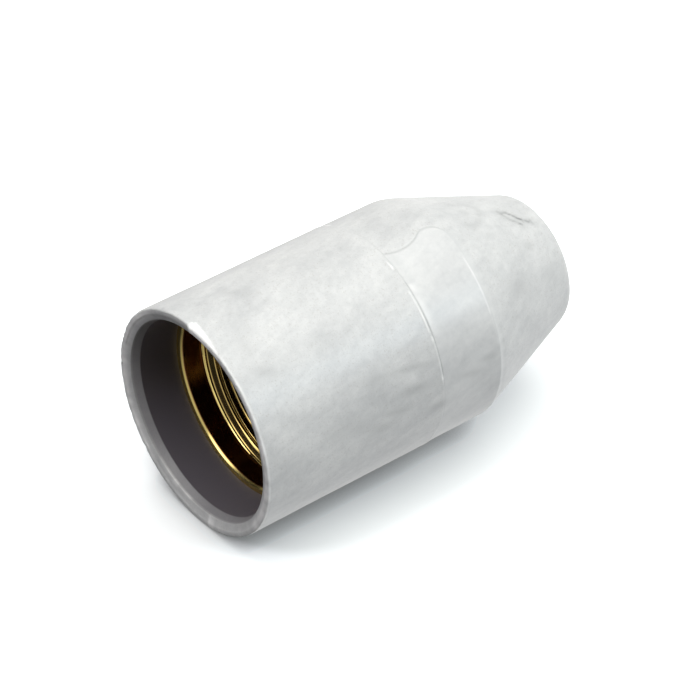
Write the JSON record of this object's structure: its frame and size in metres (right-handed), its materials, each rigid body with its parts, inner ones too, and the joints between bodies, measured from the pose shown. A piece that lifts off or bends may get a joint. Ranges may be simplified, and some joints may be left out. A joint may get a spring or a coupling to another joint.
{
  "type": "plasma shield cap",
  "caption": "Tapered moulded shield cap for a hand plasma torch: open skirt, threaded brass insert moulded in behind it, and a round orifice in the rounded nose.",
  "frame": {"origin": "centre of the open rim, on the plane that the rim stands on", "axes": "+Z along the cap's axis from the open rim to the nose; +X towards the middle of the mould's side window"},
  "size_m": [0.03, 0.03, 0.0524],
  "materials": {
    "grey_moulding": "semi-gloss, cloudy light grey",
    "brass": "turned"
  },
  "bodies": {
    "root": {"shield_body": "grey_moulding", "brass_insert": "brass"}
  },
  "joints": []
}
